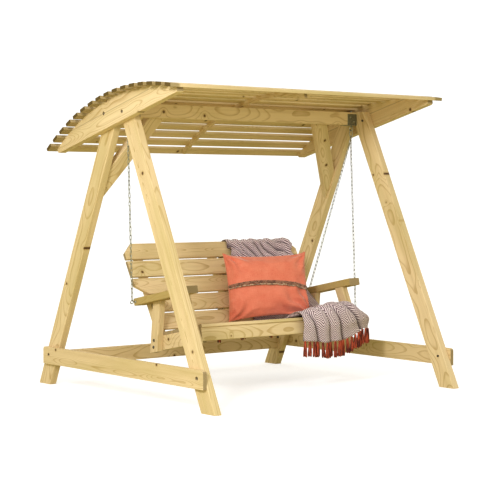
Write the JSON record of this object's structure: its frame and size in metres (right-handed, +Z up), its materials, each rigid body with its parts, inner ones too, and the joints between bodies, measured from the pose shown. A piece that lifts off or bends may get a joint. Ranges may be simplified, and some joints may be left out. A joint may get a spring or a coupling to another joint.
{
  "type": "garden swing seat",
  "caption": "Free-standing timber garden swing seat: a slatted bench on four chains under an arched slatted roof, with a cushion and a fringed throw.",
  "frame": {"origin": "on the ground at the centre of the stand's bounding box, midway between the four feet", "axes": "+X to the sitter's left along the seat (the viewer's right from the front), +Y to the rear, +Z up"},
  "size_m": [2.11, 1.874, 1.8407],
  "materials": {
    "pine": "pressure-treated pine, planed, pale straw colour with a slight green tint, brown end grain and small knots",
    "arm_pine": "the same pine, weathered a little browner on the arms",
    "shoe_zinc": "galvanised sheet, grey-green and dull",
    "chain_zinc": "zinc-plated steel bar",
    "bolt_steel": "dull zinc-plated steel",
    "cushion_fabric": "coral red woven cotton with a scalloped trim",
    "throw_fabric": "cream and purple-brown herringbone weave",
    "fringe_yarn": "rust red yarn tassels"
  },
  "bodies": {
    "stand": {"beam_eye_left": "chain_zinc", "beam_eye_right": "chain_zinc", "beam_shoe_left": "shoe_zinc", "beam_shoe_right": "shoe_zinc", "knee_brace_left": "pine", "knee_brace_right": "pine", "leg_front_left": "pine", "leg_front_right": "pine", "leg_rear_left": "pine", "leg_rear_right": "pine", "middle_rib": "pine", "rear_stretcher": "pine", "rib_arch_left": "pine", "rib_arch_right": "pine", "rib_board_left": "pine", "rib_board_right": "pine", "rib_bolts": "bolt_steel", "ridge_beam": "pine", "roof_slats_front": "pine", "roof_slats_middle": "pine", "roof_slats_rear": "pine", "shoe_screws": "chain_zinc", "side_stretcher_left": "pine", "side_stretcher_right": "pine", "stretcher_bolts": "bolt_steel"},
    "bench": {"arm_left": "arm_pine", "arm_right": "arm_pine", "back_slat_1": "pine", "back_slat_2": "pine", "back_slat_3": "pine", "back_slat_4": "pine", "back_slat_5": "pine", "back_stile_left": "pine", "back_stile_middle": "pine", "back_stile_right": "pine", "bench_bolts": "bolt_steel", "bench_eyes": "chain_zinc", "chain_front_left": "chain_zinc", "chain_front_right": "chain_zinc", "chain_rear_left": "chain_zinc", "chain_rear_right": "chain_zinc", "cushion": "cushion_fabric", "post_front_left": "pine", "post_front_right": "pine", "post_rear_left": "pine", "post_rear_right": "pine", "quick_link_left": "chain_zinc", "quick_link_right": "chain_zinc", "seat_apron": "pine", "seat_rail_left": "pine", "seat_rail_middle": "pine", "seat_rail_right": "pine", "seat_rear_rail": "pine", "seat_slat_1": "pine", "seat_slat_2": "pine", "seat_slat_3": "pine", "seat_slat_4": "pine", "throw": "throw_fabric", "throw_fringe": "fringe_yarn"}
  },
  "joints": [
    {"name": "swing", "type": "hinge", "parent": "stand", "child": "bench", "pos_m": [0, 0, 1.6319], "axis": [1, 0, 0], "range_deg": [-15, 15]}
  ]
}
